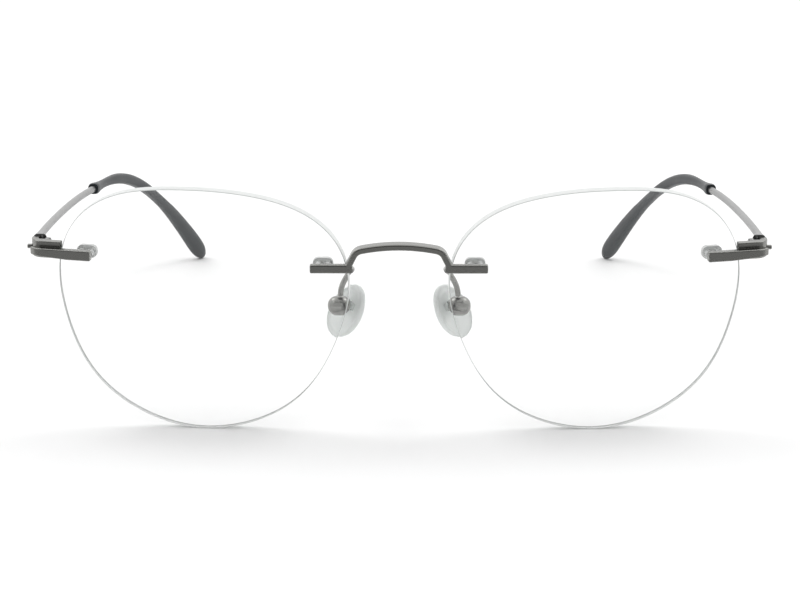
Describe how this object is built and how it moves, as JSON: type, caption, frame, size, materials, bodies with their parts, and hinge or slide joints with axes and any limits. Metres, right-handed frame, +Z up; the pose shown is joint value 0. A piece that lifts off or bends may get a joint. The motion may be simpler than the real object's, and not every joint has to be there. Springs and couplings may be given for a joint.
{
  "type": "eyeglasses",
  "caption": "Rimless round eyeglasses with wire bridge, clear nose pads and slim folding wire temples with plastic tips, standing open.",
  "frame": {"origin": "centre of the footprint at table height, glasses open and standing on the lower lens edges and the temple tips", "axes": "+X towards the wearer's left, +Y backwards from the lenses along the temples, +Z up"},
  "size_m": [0.1322, 0.1493, 0.0444],
  "materials": {
    "lens": "polished clear plano lens",
    "clear_sleeve": "clear moulded plastic",
    "clear_insert": "clear moulded plastic",
    "pad_silicone": "clear satin silicone",
    "gunmetal": "plated dark gunmetal, satin to semi-gloss",
    "temple_wire": "plated gunmetal wire, satin",
    "screw_steel": "dark steel screw",
    "tip_plastic": "dark slate moulded acetate, semi-gloss"
  },
  "bodies": {
    "front": {"bridge": "gunmetal", "lens_left": "lens", "sleeve_temporal_left": "clear_sleeve", "sleeve_nasal_left": "clear_sleeve", "lens_bar_left": "gunmetal", "pad_arm_left": "gunmetal", "pad_box_left": "gunmetal", "pad_screw_left": "screw_steel", "endpiece_left": "gunmetal", "hinge_screw_left": "screw_steel", "hinge_rivet_left": "gunmetal", "lens_right": "lens", "sleeve_temporal_right": "clear_sleeve", "sleeve_nasal_right": "clear_sleeve", "lens_bar_right": "gunmetal", "pad_arm_right": "gunmetal", "pad_box_right": "gunmetal", "pad_screw_right": "screw_steel", "endpiece_right": "gunmetal", "hinge_screw_right": "screw_steel", "hinge_rivet_right": "gunmetal"},
    "left_temple": {"temple_left": "temple_wire", "temple_tip_left": "tip_plastic"},
    "left_pad": {"nose_pad_left": "pad_silicone", "pad_insert_left": "clear_insert"},
    "right_temple": {"temple_right": "temple_wire", "temple_tip_right": "tip_plastic"},
    "right_pad": {"nose_pad_right": "pad_silicone", "pad_insert_right": "clear_insert"}
  },
  "joints": [
    {"name": "left_temple_fold", "type": "hinge", "parent": "front", "child": "left_temple", "pos_m": [0.0628, -0.06588, 0.03294], "axis": [0, 0, 1], "range_deg": [0, 83]},
    {"name": "right_temple_fold", "type": "hinge", "parent": "front", "child": "right_temple", "pos_m": [-0.0628, -0.06588, 0.03294], "axis": [0, 0, -1], "range_deg": [0, 78]},
    {"name": "left_pad_rock", "type": "hinge", "parent": "front", "child": "left_pad", "pos_m": [0.0105, -0.06506, 0.02182], "axis": [0.5594, 0.7077, 0.4316], "range_deg": [-8, 8]},
    {"name": "right_pad_rock", "type": "hinge", "parent": "front", "child": "right_pad", "pos_m": [-0.0105, -0.06506, 0.02182], "axis": [0.5594, -0.7077, -0.4316], "range_deg": [-8, 8]}
  ]
}
